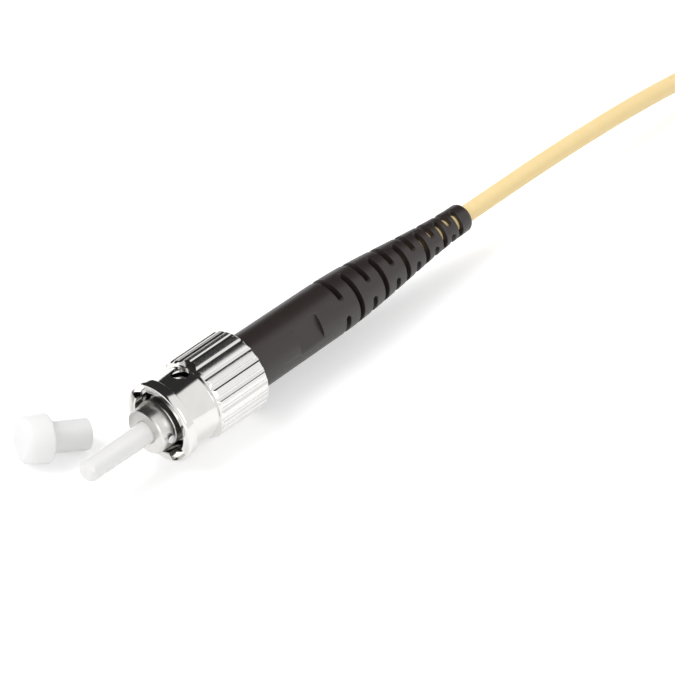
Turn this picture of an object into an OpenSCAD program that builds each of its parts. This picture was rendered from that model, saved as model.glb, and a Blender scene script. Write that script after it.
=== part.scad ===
// ST-style bayonet fibre connector on a 2 mm simplex lead, with its dust cap.
// Lengths are millimetres. The connector's axis is X: the ferrule's end face is
// at the origin and the lead leaves towards +X. The connector lies on its
// coupling nut, so the table is half a nut below the axis.
// Angles round the axis start at +Y and grow towards +Z.

/* [Ferrule and fibre] */
// Outside diameter of the ceramic ferrule
ferrule_d = 2.5; // [1.5:0.05:3.5]
// Length of the ferrule that stands in front of the barrel
ferrule_exposed = 8.7; // [6:0.1:11]
// Length of the ferrule that is pressed into the barrel
ferrule_seat = 4.8; // [3.5:0.1:6]
// Length of the cone at the ferrule's tip
ferrule_chamfer = 0.45; // [0.2:0.05:0.8]
// Cladding diameter of the bare glass fibre
fibre_d = 0.125; // [0.08:0.005:0.25]
// Diameter of the fibre with its acrylate coating
coating_d = 0.25; // [0.2:0.01:0.4]

/* [Barrel and key] */
// Outside diameter of the barrel that holds the ferrule
barrel_d = 5.24; // [4.2:0.02:6.6]
// Length of the barrel, from its face to the backbone's flange
barrel_len = 6.5; // [5.6:0.1:9]
// Diameter of the key pin
key_d = 1.0; // [0.6:0.05:1.4]
// Height of the key pin above the barrel
key_height = 0.45; // [0.3:0.05:0.7]
// Distance from the barrel's face to the key pin's centre
key_setback = 1.0; // [0.8:0.1:2.4]
// Angle of the key pin round the axis
key_angle = 174; // [0:1:359]

/* [Coupling nut] */
// Distance from the nut's front back to the barrel's face, with the nut at rest
barrel_ahead = 1.9; // [0.5:0.1:3]
// Gap between the barrel and the nut's bore, for the socket's sleeve
sleeve_gap = 0.98; // [0.9:0.02:1.4]
// Wall of the nut's smooth neck
neck_wall = 0.55; // [0.4:0.05:0.9]
// Height of the front ring and of the knurled grip above the neck
grip_height = 0.55; // [0.45:0.05:0.9]
// Length of the front ring
ring_len = 1.15; // [0.8:0.05:1.6]
// Distance from the nut's front to the start of the grip
grip_setback = 4.75; // [4.4:0.05:6]
// Number of flutes round the grip
flutes = 22; // [12:1:30]
// Width of the two bayonet slots in the front ring
slot_w = 2.7; // [2:0.1:3.2]
// Angle of the first bayonet slot round the axis
slot_angle = 44; // [0:1:359]
// Turn from a bayonet slot to its lock hole
lock_turn = 36.5; // [30:0.5:50]
// Diameter of the lock holes
lock_d = 2.0; // [1.4:0.1:2.2]
// Distance from the nut's front to the lock holes' centres
lock_setback = 4.0; // [3.4:0.1:4.6]
// Diameter of the spot face round each lock hole
spot_d = 3.4; // [2.8:0.1:4]
// Forward travel of the nut against its spring
nut_travel = 2.2; // [1:0.1:2.4]

/* [Spring, washer and clip] */
// Length of the spring with the nut at rest
spring_len = 4.6; // [4:0.1:6.5]
// Diameter of the spring's wire
wire_d = 0.4; // [0.3:0.02:0.45]
// Number of turns of the spring, with its two closed ends
spring_turns = 5; // [4:1:6]
// Thickness of the thrust washer
washer_t = 0.35; // [0.2:0.05:0.6]
// Thickness of the nut's inner lip
lip_t = 0.65; // [0.4:0.05:1]
// Thickness of the retaining clip
clip_t = 0.5; // [0.3:0.05:0.8]

/* [Backbone and crimp] */
// Diameter of the backbone where the spring and the nut's lip slide
backbone_d = 4.3; // [4:0.05:4.6]
// Thickness of the backbone's flange
flange_t = 0.55; // [0.4:0.05:0.9]
// Diameter of the backbone's crimp neck
crimp_neck_d = 3.1; // [2.8:0.05:3.5]
// Length of the crimp neck
crimp_neck_len = 4.9; // [4:0.1:6]
// Wall of the crimp sleeve
sleeve_wall = 0.22; // [0.15:0.01:0.35]
// Length of the crimp sleeve's rear barrel on the jacket
sleeve_tail = 2.7; // [2:0.1:3.5]

/* [Boot] */
// Outside diameter of the boot at the nut
boot_d = 6.54; // [6:0.02:7.9]
// Length of the boot
boot_len = 34.8; // [28:0.1:42]
// Wall of the boot at its thin end
boot_tail_wall = 0.54; // [0.4:0.02:0.9]
// Length of the boot's plain front, before its taper
boot_plain = 12.8; // [11.5:0.1:14]
// Distance from the boot's front to its first bend-relief slot
relief_setback = 13.8; // [12.5:0.1:15]
// Number of bend-relief stations
reliefs = 12; // [6:1:12]
// Distance between the first two stations
relief_pitch_first = 2.2; // [1.8:0.05:2.3]
// Distance between the last two stations
relief_pitch_last = 1.25; // [1.1:0.05:1.4]
// Width of the bend-relief slots
relief_w = 0.68; // [0.4:0.02:0.8]
// Arc of each bend-relief slot
relief_arc = 144; // [100:2:156]
// Length of the bare label flat
label_len = 3.5; // [2:0.1:5]
// Width of the bare label flat
label_w = 3.2; // [2:0.1:3.8]
// Angle of the label flat round the axis
label_angle = 148.5; // [0:0.5:359]

/* [Cable] */
// Outside diameter of the cable's jacket
cable_d = 2.0; // [1.6:0.05:2.4]
// Wall of the jacket
jacket_wall = 0.3; // [0.2:0.02:0.4]
// Diameter of the tight buffer
buffer_d = 0.9; // [0.6:0.05:1]

/* [Dust cap] */
// Outside diameter of the cap's grip
cap_grip_d = 5.4; // [4.6:0.1:6.5]
// Length of the cap's grip
cap_grip_len = 3.1; // [2:0.1:4]
// Length of the cap's tube
cap_tube_len = 4.5; // [3.5:0.1:7]
// Wall of the cap's tube
cap_wall = 0.43; // [0.3:0.01:0.6]
// Place of the cap's closed end on the table
cap_x = -0.2; // [-3:0.1:1]
// Place of the cap's closed end across the table
cap_y = 9.6; // [9:0.1:14]
// Heading of the cap on the table
cap_heading = -23.5; // [-30:0.5:30]

/* [Clearances] */
// Radial clearance of pressed and cemented pieces
press_gap = 0.01; // [0.005:0.005:0.02]
// Radial clearance of sliding pieces
slide_gap = 0.05; // [0.02:0.01:0.1]
// Axial clearance between the nut and its neighbours
end_gap = 0.04; // [0.02:0.01:0.1]
// Radial clearance between the boot and the nut
boot_gap = 0.18; // [0.1:0.02:0.3]

/* [Hidden] */

// Stations along the axis, from the ferrule's end face to the boot's end
face_x = ferrule_exposed;
nut_x = face_x + barrel_ahead;
barrel_end = face_x + barrel_len;
ferrule_end = face_x + ferrule_seat;
flange_end = barrel_end + flange_t;
spring_end = flange_end + spring_len;
lip_x = spring_end + washer_t + end_gap;
lip_end = lip_x + lip_t;
clip_x = lip_end + end_gap;
clip_end = clip_x + clip_t;
boot_x = clip_end + 0.25;
nut_end = boot_x + 0.3;
neck_x = boot_x - 0.15;
neck_end = neck_x + crimp_neck_len;
jacket_x = neck_end + 1.2;
sleeve_end = jacket_x + sleeve_tail;
boot_end = boot_x + boot_len;

// Radii that follow from the sizes above
nut_bore_r = barrel_d / 2 + sleeve_gap;
neck_r = nut_bore_r + neck_wall;
nut_r = neck_r + grip_height;
table_z = -nut_r;
backbone_r = backbone_d / 2;
flange_r = nut_bore_r - 0.5;
spigot_r = barrel_d / 2 - 0.62;
spigot_len = 1.3;
fibre_bore_r = fibre_d / 2 + 0.0025;
tube_r = buffer_d / 2 + 0.27;
crimp_neck_r = crimp_neck_d / 2;
yarn_t = 0.18;
sleeve_bore_r = crimp_neck_r + yarn_t + 2 * press_gap;
sleeve_r = sleeve_bore_r + sleeve_wall;
boot_bore_r = cable_d / 2 + 0.08;
boot_tail_r = boot_bore_r + boot_tail_wall;
jacket_r = cable_d / 2;
jacket_bore_r = jacket_r - jacket_wall;
channel_r = neck_r - 0.23;
fine = 96;

// A profile of [x, r] points turned about the X axis, or about part of it
module turned(profile, from = 0, arc = 360, fn = fine) {
    rotate([0, 90, 0]) rotate([0, 0, 90 + from])
        rotate_extrude(angle = arc, $fn = fn)
            polygon([for (q = profile) [q[1], q[0]]]);
}

// A plain cylinder along X from x0 to x1
module rod(x0, x1, r, fn = fine) {
    translate([x0, 0, 0]) rotate([0, 90, 0]) cylinder(h = x1 - x0, r = r, $fn = fn);
}

// A cylinder that points out from the axis at station x and angle a
module spoke(x, a, r, r0, r1, fn = 48) {
    translate([x, 0, 0]) rotate([a, 0, 0]) rotate([-90, 0, 0])
        translate([0, 0, r0]) cylinder(h = r1 - r0, r = r, $fn = fn);
}

// A solid of round section swept along a path, one ring of points at each of
// the path's points; up is any direction that the path never takes
function unit(v) = v / norm(v);
function heading(path, i) =
    unit(path[min(i + 1, len(path) - 1)] - path[max(i - 1, 0)]);
function ring(c, t, r, sides, up) =
    let (a = unit(cross(up, t)), b = cross(t, a))
        [for (k = [0 : sides - 1])
            c + r * (cos(360 * k / sides) * a + sin(360 * k / sides) * b)];
module swept(path, r, sides = 8, up = [0, 0, 1]) {
    n = len(path);
    points = [for (i = [0 : n - 1])
        each ring(path[i], heading(path, i), r, sides, up)];
    walls = [for (i = [0 : n - 2], k = [0 : sides - 1])
        let (a = i * sides + k, b = i * sides + (k + 1) % sides)
            [a, a + sides, b + sides, b]];
    first = [for (k = [0 : sides - 1]) k];
    last = [for (k = [sides - 1 : -1 : 0]) (n - 1) * sides + k];
    polyhedron(points, concat([first], walls, [last]), convexity = 6);
}

// ---- ferrule, fibre and barrel -------------------------------------------

// Ceramic cylinder with a coned tip and an adhesive groove just inside the barrel
module ferrule() {
    r = ferrule_d / 2;
    tip_r = r - 0.3;
    groove_r = r - 0.2;
    color("whitesmoke") difference() {
        turned([
            [0, 0], [0, tip_r - 0.05], [0.03, tip_r], [ferrule_chamfer, r],
            [face_x, r], [face_x, groove_r],
            [face_x + 0.7, groove_r], [face_x + 0.7, r],
            [ferrule_end - 0.3, r], [ferrule_end, r - 0.3], [ferrule_end, 0]
        ]);
        rod(-1, ferrule_end + 1, fibre_bore_r, 24);
        // funnel that leads the fibre into its bore
        turned([[ferrule_end - 0.6, 0], [ferrule_end + 0.1, 0.6],
            [ferrule_end + 0.1, 0]], fn = 48);
    }
}

// Bare glass through the ferrule, then the coated fibre up to the buffer
module optical_fibre() {
    strip_x = ferrule_end + 0.4;
    color("lightcyan") turned([
        [0, 0], [0, fibre_d / 2], [strip_x, fibre_d / 2],
        [strip_x, coating_d / 2], [flange_end + 1, coating_d / 2],
        [flange_end + 1, 0]
    ], fn = 48);
}

// Polished cylinder that the socket's sleeve slides over
module ferrule_barrel() {
    r = barrel_d / 2;
    line_x = face_x + 1.85;
    color("silver") difference() {
        turned([
            [face_x + 0.06, ferrule_d / 2 + press_gap],
            [face_x, ferrule_d / 2 + 0.12], [face_x, r - 0.14],
            [face_x + 0.14, r],
            [line_x, r], [line_x + 0.07, r - 0.07], [line_x + 0.14, r],
            [barrel_end, r], [barrel_end, spigot_r + press_gap],
            [barrel_end - spigot_len - 0.05, spigot_r + press_gap],
            [barrel_end - spigot_len - 0.05, ferrule_d / 2 + press_gap]
        ]);
        spoke(face_x + key_setback, key_angle, key_d / 2 + press_gap,
            r - 0.75, r + 1);
    }
}

// Key that stops the barrel turning in its socket
module key_pin() {
    r = barrel_d / 2;
    color("lightgrey") translate([face_x + key_setback, 0, 0])
        rotate([key_angle, 0, 0]) rotate([-90, 0, 0])
            rotate_extrude($fn = 48) polygon([
                [0, r - 0.72], [key_d / 2, r - 0.72],
                [key_d / 2, r + key_height - 0.12],
                [key_d / 2 - 0.12, r + key_height], [0, r + key_height]
            ]);
}

// Rear body: spigot, spring flange, slide, clip groove and barbed crimp neck
module backbone() {
    barbs = 5;
    pitch = (crimp_neck_len - 0.6) / barbs;
    color("darkgrey") difference() {
        turned(concat(
            [[barrel_end - spigot_len, 0], [barrel_end - spigot_len, spigot_r],
             [barrel_end, spigot_r], [barrel_end, flange_r - 0.1],
             [barrel_end + 0.1, flange_r], [flange_end, flange_r],
             [flange_end, backbone_r], [clip_x, backbone_r],
             [clip_x, backbone_r - 0.3], [clip_end, backbone_r - 0.3],
             [clip_end, backbone_r], [neck_x, backbone_r]],
            [[neck_x, crimp_neck_r - 0.08]],
            [for (i = [0 : barbs - 1], p = [
                [neck_x + 0.3 + i * pitch, crimp_neck_r - 0.08],
                [neck_x + 0.3 + (i + 0.75) * pitch, crimp_neck_r],
                [neck_x + 0.3 + (i + 0.9) * pitch, crimp_neck_r]]) p],
            [[neck_end, crimp_neck_r - 0.08], [neck_end, 0]]
        ));
        rod(barrel_end - spigot_len - 1, neck_end + 1, tube_r + press_gap, 48);
    }
}

// ---- nut, spring and their stops -----------------------------------------

// The flutes are straight; each one is a round-bottomed groove
module fluting(x0, x1) {
    cutter_r = 0.24;
    for (i = [0 : flutes - 1])
        rotate([360 * i / flutes, 0, 0])
            translate([x0, nut_r + 0.04, 0]) rotate([0, 90, 0])
                cylinder(h = x1 - x0, r = cutter_r, $fn = 24);
}

// Way that one of the socket's lugs takes: in at the slot, round the ramp, out
// into the lock hole
module lug_way(a) {
    lug_r = lock_d / 2 - 0.02;
    depth = ring_len - 0.2;
    stops = [[ring_len + 1.3, 0], [lock_setback - 0.25, 0.62], [lock_setback, 1]];
    intersection() {
        translate([nut_x - 1, 0, 0]) rotate([a, 0, 0])
            translate([0, 0, -slot_w / 2]) cube([1 + depth, nut_r, slot_w]);
        rod(nut_x - 1, nut_x + depth, nut_r - 0.32);
    }
    intersection() {
        translate([nut_x - 1, 0, 0]) rotate([a, 0, 0])
            translate([0, 0, -slot_w / 2])
                cube([1 + ring_len + 1.3 + lug_r * 0.6, nut_r, slot_w]);
        rod(nut_x - 1, nut_x + lock_setback, channel_r);
    }
    intersection() {
        for (i = [0 : len(stops) - 2]) hull() for (s = [stops[i], stops[i + 1]])
            spoke(nut_x + s[0], a + s[1] * lock_turn, lug_r,
                nut_bore_r * 0.8, nut_r, 32);
        rod(nut_x, nut_x + lock_setback + 2, channel_r);
    }
}

// Bayonet nut: front ring with its slots, smooth neck with the lock holes,
// fluted grip, inner lip for the spring and a skirt over the boot's front
module coupling_nut() {
    grip_x = nut_x + grip_setback;
    rear_r = boot_d / 2 + boot_gap;
    color("gainsboro") difference() {
        turned([
            [nut_x, nut_bore_r + 0.12], [nut_x, nut_r - 0.22],
            [nut_x + 0.07, nut_r - 0.07], [nut_x + 0.22, nut_r],
            [nut_x + ring_len - 0.08, nut_r], [nut_x + ring_len, nut_r - 0.08],
            [nut_x + ring_len, neck_r],
            [grip_x, neck_r], [grip_x + 0.12, nut_r - 0.22],
            [grip_x + 0.5, nut_r],
            [nut_end - 0.25, nut_r], [nut_end, nut_r - 0.25],
            [nut_end, rear_r + 0.1], [nut_end - 0.1, rear_r],
            [lip_end, rear_r], [lip_end, backbone_r + slide_gap],
            [lip_x, backbone_r + slide_gap], [lip_x, nut_bore_r],
            [nut_x + 0.12, nut_bore_r]
        ]);
        fluting(grip_x - 1, nut_end + 1);
        for (a = [slot_angle, slot_angle + 180]) {
            lug_way(a);
            spoke(nut_x + lock_setback, a + lock_turn, lock_d / 2, 1, nut_r + 1);
            spoke(nut_x + lock_setback, a + lock_turn, spot_d / 2,
                neck_r - 0.13, nut_r + 1);
        }
    }
}

// Compression spring with closed ends; the pitch is taken up between them
module spring() {
    steps = 18;
    turns = spring_turns;
    r = backbone_r + 0.2 + wire_d / 2;
    x0 = flange_end + wire_d / 2 + 0.02;
    x1 = spring_end - wire_d / 2 - 0.02;
    free = x1 - x0 - 2 * wire_d;
    function rise(t) =
        t < 1 ? t * wire_d
        : t > turns - 1 ? x1 - x0 - (turns - t) * wire_d
        : wire_d + free * (t - 1) / (turns - 2);
    path = [for (i = [0 : steps * turns])
        let (t = i / steps, a = 360 * t)
            [x0 + rise(t), r * cos(a), r * sin(a)]];
    color("slategrey") swept(path, wire_d / 2, 8, [1, 0, 0]);
}

// Washer that lets the nut turn without winding the spring
module thrust_washer() {
    x0 = spring_end;
    color("silver") turned([
        [x0, backbone_r + slide_gap], [x0, nut_bore_r - 0.15],
        [x0 + washer_t, nut_bore_r - 0.15],
        [x0 + washer_t, backbone_r + slide_gap]
    ]);
}

// Open clip in the backbone's groove, the nut's rear stop
module retaining_clip() {
    r0 = backbone_r - 0.3 + press_gap;
    r1 = boot_d / 2 - 0.15;
    color("dimgrey") turned([
        [clip_x + 0.02, r0], [clip_x + 0.02, r1],
        [clip_end - 0.02, r1], [clip_end - 0.02, r0]
    ], label_angle + 20, 320);
}

// ---- crimp and cable end inside the boot ---------------------------------

// Thin tube that guides the buffer through the backbone
module buffer_tube() {
    color("ivory") turned([
        [flange_end + 0.8, buffer_d / 2 + press_gap], [flange_end + 0.8, tube_r],
        [neck_end + 0.3, tube_r], [neck_end + 0.3, buffer_d / 2 + press_gap]
    ], fn = 48);
}

// Sleeve crimped six-sided on the neck and round on the jacket
module crimp_sleeve() {
    hex_x = neck_x + 0.5;
    tail_bore_r = jacket_r + press_gap;
    color("goldenrod") difference() {
        intersection() {
            turned([
                [neck_x + 0.15, 0], [neck_x + 0.15, sleeve_r + 0.12],
                [neck_end + 0.2, sleeve_r + 0.12],
                [jacket_x, tail_bore_r + sleeve_wall + 0.22],
                [sleeve_end, tail_bore_r + sleeve_wall + 0.22], [sleeve_end, 0]
            ]);
            union() {
                rod(neck_x, hex_x, sleeve_r + 1);
                translate([hex_x, 0, 0]) rotate([0, 90, 0])
                    cylinder(h = crimp_neck_len - 0.9,
                        r = (sleeve_r + 0.02) / cos(30), $fn = 6);
                rod(neck_end - 0.4, sleeve_end + 1, sleeve_r + 1);
            }
        }
        turned([
            [neck_x - 1, 0], [neck_x - 1, sleeve_bore_r],
            [neck_end + 0.15, sleeve_bore_r], [jacket_x - 0.05, tail_bore_r],
            [sleeve_end + 1, tail_bore_r], [sleeve_end + 1, 0]
        ]);
    }
}

// Yarns spread over the crimp neck and led back into the jacket
module aramid_yarns() {
    r0 = crimp_neck_r + press_gap;
    in_r = buffer_d / 2 + 0.03;
    color("khaki") turned([
        [neck_x + 0.4, r0], [neck_x + 0.4, r0 + yarn_t],
        [neck_end + 0.15, r0 + yarn_t],
        [jacket_x - 0.05, jacket_bore_r - 0.02], [boot_end, jacket_bore_r - 0.02],
        [boot_end, in_r], [jacket_x - 0.1, in_r],
        [neck_end + 0.35, tube_r + 0.06], [neck_end + 0.08, r0]
    ], fn = 64);
}

module tight_buffer() {
    color("white") difference() {
        rod(flange_end + 0.5, boot_end, buffer_d / 2, 48);
        rod(flange_end, flange_end + 1, coating_d / 2 + press_gap, 32);
    }
}

// The jacket's cut end, from the crimp to the boot's thin end
module cable_jacket() {
    color("khaki") turned([
        [jacket_x, jacket_bore_r], [jacket_x, jacket_r],
        [boot_end, jacket_r], [boot_end, jacket_bore_r]
    ], fn = 64);
}

// ---- boot -----------------------------------------------------------------

// Radius of the boot's outside at station x: plain, then a smooth taper
function ease(t) = let (u = max(0, min(1, t))) u * u * (3 - 2 * u);
function boot_r(x) =
    let (t = (x - boot_x - boot_plain) / (boot_len - boot_plain),
         front = boot_d / 2 - 0.09 * max(0, min(1, (x - boot_x) / boot_plain)))
        front + (boot_tail_r - front) * ease(t);
// Station of relief i; the pitch falls evenly from the first to the last
function relief_x(i) =
    let (drop = (relief_pitch_first - relief_pitch_last) / (reliefs - 2))
        boot_x + relief_setback + i * relief_pitch_first - drop * i * (i - 1) / 2;

module boot() {
    cavity_end = sleeve_end + 0.2;
    cavity_r = sleeve_r + 0.17;
    steps = 11;
    span = boot_len - boot_plain - 0.7;
    color("#332c2c") difference() {
        turned(concat(
            [[boot_x, cavity_r], [boot_x, boot_d / 2 - 0.2],
             [boot_x + 0.2, boot_d / 2]],
            [for (i = [0 : steps]) let (x = boot_x + boot_plain + span * i / steps)
                [x, boot_r(x)]],
            [[boot_end - 0.3, boot_tail_r - 0.08],
             [boot_end - 0.08, boot_tail_r - 0.26],
             [boot_end, boot_tail_r - 0.42],
             [boot_end, boot_bore_r],
             [cavity_end + 1.8, boot_bore_r], [cavity_end, cavity_r]]
        ));
        // label flat, left bare
        flat_r = sqrt(pow(boot_r(boot_x + 6.5), 2) - pow(label_w / 2, 2));
        rotate([label_angle, 0, 0])
            translate([boot_x + 6.5, flat_r, -label_w])
                cube([label_len, 4, 2 * label_w]);
        // bend-relief slots, two a station, each station a quarter turn on
        for (i = [0 : reliefs - 1], h = [0, 180])
            turned([
                [relief_x(i) - relief_w / 2, boot_bore_r - 0.05],
                [relief_x(i) - relief_w / 2, boot_d],
                [relief_x(i) + relief_w / 2, boot_d],
                [relief_x(i) + relief_w / 2, boot_bore_r - 0.05]
            ], label_angle + (i % 2 == 0 ? 90 : 0) + h - relief_arc / 2,
                relief_arc, 72);
    }
}

// ---- dust cap -------------------------------------------------------------

// The cap lies on its grip's edge and its mouth, so it leans a little
cap_len = cap_grip_len + cap_tube_len;
cap_bore_r = ferrule_d / 2 + 0.02;
cap_tube_r = cap_bore_r + cap_wall;
cap_edge_x = cap_grip_len - 0.2;
cap_lean = asin((cap_grip_d / 2 - cap_tube_r) / norm([
    cap_len - cap_edge_x, cap_grip_d / 2 - cap_tube_r])) ;
cap_z = table_z + cap_grip_d / 2 * cos(cap_lean) + cap_edge_x * sin(cap_lean);

module dust_cap() {
    r = cap_grip_d / 2;
    color("white") translate([cap_x, cap_y, cap_z])
        rotate([0, 0, cap_heading]) rotate([0, cap_lean, 0]) difference() {
            turned([
                [0, 0], [0, r - 0.8], [0.12, r - 0.45], [0.45, r - 0.2],
                [cap_edge_x, r], [cap_grip_len, r - 0.22],
                [cap_grip_len, cap_tube_r],
                [cap_len - 0.12, cap_tube_r], [cap_len, cap_tube_r - 0.1],
                [cap_len, 0]
            ]);
            rod(cap_len - 6.2, cap_len + 1, cap_bore_r);
            turned([[cap_len - 0.15, 0], [cap_len - 0.15, cap_bore_r],
                [cap_len + 0.05, cap_bore_r + 0.2], [cap_len + 0.05, 0]]);
        }
}

// ---- free lead ------------------------------------------------------------

// Route of the free cable from the boot's end: level, then down to the table
// and a little aside into the hank
run_points = [
    [0, 0, 0], [5, 0, 0], [10, 0, 0], [15, 0, -0.1], [20, 0, -0.3],
    [25, 0, -0.6], [30, 0, -1.05], [35, -0.1, -1.6], [40, -0.4, -2.2],
    [45, -0.9, -2.8], [50, -1.5, -3.25], [55, -2.1, -3.5], [60, -2.6, -3.6],
    [64, -2.9, -3.4]
];
// The hank: five layers of two turns, its folds three diameters in radius
hank_x = 70;
hank_y = 3;
hank_run = 30;
hank_fold_d = 12;
hank_columns = 2;
hank_layers = 5;
hank_lift = 0.35;
tail_x = 114;
hank_r = hank_fold_d / 2 + hank_columns * cable_d - cable_d / 2;
hank_z = table_z + hank_lift;
tail_y = hank_y - hank_fold_d / 2 - cable_d;
tail_z = table_z + jacket_r;

module cable_run() {
    color("khaki") translate([boot_end, 0, 0]) swept(run_points, jacket_r, 8);
}

module cable_hank() {
    color("khaki") translate([boot_end + hank_x, hank_y, hank_z])
        linear_extrude(height = hank_layers * cable_d) union() {
            circle(r = hank_r, $fn = fine);
            translate([0, -hank_r]) square([hank_run, 2 * hank_r]);
            translate([hank_run, 0]) circle(r = hank_r, $fn = fine);
        }
}

// Strap round the middle of the hank
module hank_tie() {
    w = 6;
    t = hank_lift;
    high = hank_layers * cable_d;
    color("dimgrey")
        translate([boot_end + hank_x + (hank_run - w) / 2, hank_y, hank_z])
            difference() {
                translate([0, -hank_r - t - 0.03, -t])
                    cube([w, 2 * (hank_r + t + 0.03), high + 2 * t + 0.03]);
                translate([-1, -hank_r - 0.03, 0])
                    cube([w + 2, 2 * (hank_r + 0.03), high + 0.03]);
            }
}

// Free end of the lead, cut square, with its yarns, buffer and fibre
module cable_tail() {
    color("khaki") translate([boot_end, tail_y, tail_z])
        rod(hank_x + hank_run + 3, tail_x, jacket_r, 64);
}

module aramid_tuft() {
    color("khaki") translate([boot_end + tail_x, tail_y, tail_z]) turned([
        [0, buffer_d / 2 + 0.03], [0, jacket_bore_r],
        [4.5, jacket_r * 0.95], [6, jacket_r * 0.6], [6, buffer_d / 2 + 0.06]
    ], fn = 48);
}

module buffer_tail() {
    color("white") translate([boot_end + tail_x, tail_y, tail_z])
        rod(0, 9, buffer_d / 2, 48);
}

module fibre_tail() {
    color("lightcyan") translate([boot_end + tail_x, tail_y, tail_z])
        rod(9, 14, coating_d / 2, 32);
}

ferrule();
optical_fibre();
ferrule_barrel();
key_pin();
backbone();
spring();
thrust_washer();
coupling_nut();
retaining_clip();
buffer_tube();
crimp_sleeve();
aramid_yarns();
tight_buffer();
cable_jacket();
boot();
dust_cap();
cable_run();
cable_hank();
hank_tie();
cable_tail();
aramid_tuft();
buffer_tail();
fibre_tail();
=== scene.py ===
"""Looks of an ST-style bayonet fibre connector on a 2 mm lead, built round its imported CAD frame.

Lengths in the script are millimetres; every mesh is written in metres, in the frame's own axes:
+X runs back along the connector towards the lead, +Z is up, and the ferrule's tip is the origin.
"""

import math

import bmesh
import bpy
from mathutils import Matrix, Vector


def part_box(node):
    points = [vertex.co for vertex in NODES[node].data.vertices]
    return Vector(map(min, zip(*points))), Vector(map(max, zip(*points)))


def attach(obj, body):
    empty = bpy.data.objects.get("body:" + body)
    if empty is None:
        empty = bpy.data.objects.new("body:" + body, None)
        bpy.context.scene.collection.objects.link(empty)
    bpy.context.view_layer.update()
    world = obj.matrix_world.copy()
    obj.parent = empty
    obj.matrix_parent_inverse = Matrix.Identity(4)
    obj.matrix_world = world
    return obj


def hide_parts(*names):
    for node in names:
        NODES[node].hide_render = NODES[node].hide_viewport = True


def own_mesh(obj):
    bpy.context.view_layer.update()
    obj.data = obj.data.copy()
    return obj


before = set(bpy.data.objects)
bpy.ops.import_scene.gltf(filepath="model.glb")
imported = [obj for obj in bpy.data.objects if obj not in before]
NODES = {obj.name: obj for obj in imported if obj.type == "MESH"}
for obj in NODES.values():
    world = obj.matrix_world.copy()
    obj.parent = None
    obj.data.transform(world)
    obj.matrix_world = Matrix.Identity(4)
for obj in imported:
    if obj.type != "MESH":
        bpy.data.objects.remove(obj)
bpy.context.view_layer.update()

bl_info = {
    "name": "Bayonet Fibre Connector",
    "version": (1, 0, 0),
    "blender": (4, 5, 0),
    "location": "3D View > Sidebar > Fibre",
    "description": "Builds a bayonet fibre connector with its boot, lead and dust cap",
    "category": "Object",
}

MM = 0.001


def node_span(node, axis):
    """Lowest and highest coordinate of a CAD node along an axis, in millimetres."""
    low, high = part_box(node)
    return low[axis] / MM, high[axis] / MM


NUT_FRONT, NUT_REAR = node_span("coupling_nut", 0)
BOOT_FRONT, BOOT_END = node_span("boot", 0)
BOOT_TOP = node_span("boot", 2)[1]
BARREL_FACE, BARREL_END = node_span("ferrule_barrel", 0)
TABLE = node_span("coupling_nut", 2)[0]


# ---------------------------------------------------------------------------
# Mesh helpers
# ---------------------------------------------------------------------------

def rounded(profile, radii, steps=3):
    """The profile's corners rounded off: radii maps a corner's index to its radius."""
    out = []
    count = len(profile)
    for i, corner in enumerate(profile):
        radius = radii.get(i, 0)
        here = Vector(corner)
        if not radius:
            out.append(here)
            continue
        before = Vector(profile[i - 1]) - here
        after = Vector(profile[(i + 1) % count]) - here
        reach = min(radius, before.length * 0.48, after.length * 0.48)
        start = here + before.normalized() * reach
        end = here + after.normalized() * reach
        for k in range(steps + 1):
            t = k / steps
            out.append(start * (1 - t) ** 2 + here * 2 * t * (1 - t) + end * t * t)
    return out


def point_round(x, r, angle):
    """Point at station x and radius r, at an angle in degrees from +Y towards +Z."""
    a = math.radians(angle)
    return Vector((x, r * math.cos(a), r * math.sin(a)))


def turned(profile, segments=96, closed=True, shape=None, start=0.0):
    """Vertices and faces of an (x, r) profile turned round the X axis.

    An open profile starts and ends on the axis. shape(x, r, angle) may change the radius.
    """
    verts, faces, rings = [], [], []
    for x, r in profile:
        if not closed and r < 1e-6:
            rings.append([len(verts)])
            verts.append(Vector((x, 0, 0)))
            continue
        ring = []
        for k in range(segments):
            angle = start + 360 * k / segments
            ring.append(len(verts))
            verts.append(point_round(x, shape(x, r, angle) if shape else r, angle))
        rings.append(ring)
    pairs = list(zip(rings, rings[1:]))
    if closed:
        pairs.append((rings[-1], rings[0]))
    for a, b in pairs:
        for k in range(segments):
            n = (k + 1) % segments
            if len(a) == 1:
                faces.append((a[0], b[n], b[k]))
            elif len(b) == 1:
                faces.append((a[k], a[n], b[0]))
            else:
                faces.append((a[k], a[n], b[n], b[k]))
    return verts, faces


def swept(points, radius, sides=16):
    """Vertices, faces and UVs of a round tube along points, its frame carried along them."""
    verts, faces, marks = [], [], []
    tangents = [(points[min(i + 1, len(points) - 1)] - points[max(i - 1, 0)]).normalized()
                for i in range(len(points))]
    normal = tangents[0].orthogonal().normalized()
    run = 0.0
    for i, (here, tangent) in enumerate(zip(points, tangents)):
        normal = (normal - tangent * normal.dot(tangent)).normalized()
        side = tangent.cross(normal)
        if i:
            run += (here - points[i - 1]).length
        for k in range(sides):
            a = 2 * math.pi * k / sides
            verts.append(here + (normal * math.cos(a) + side * math.sin(a)) * radius)
            marks.append((run, k / sides))
    for i in range(len(points) - 1):
        for k in range(sides):
            n = (k + 1) % sides
            faces.append((i * sides + k, i * sides + n, (i + 1) * sides + n, (i + 1) * sides + k))
    faces.append(tuple(range(sides))[::-1])
    last = (len(points) - 1) * sides
    faces.append(tuple(last + k for k in range(sides)))
    return verts, faces, marks


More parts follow.
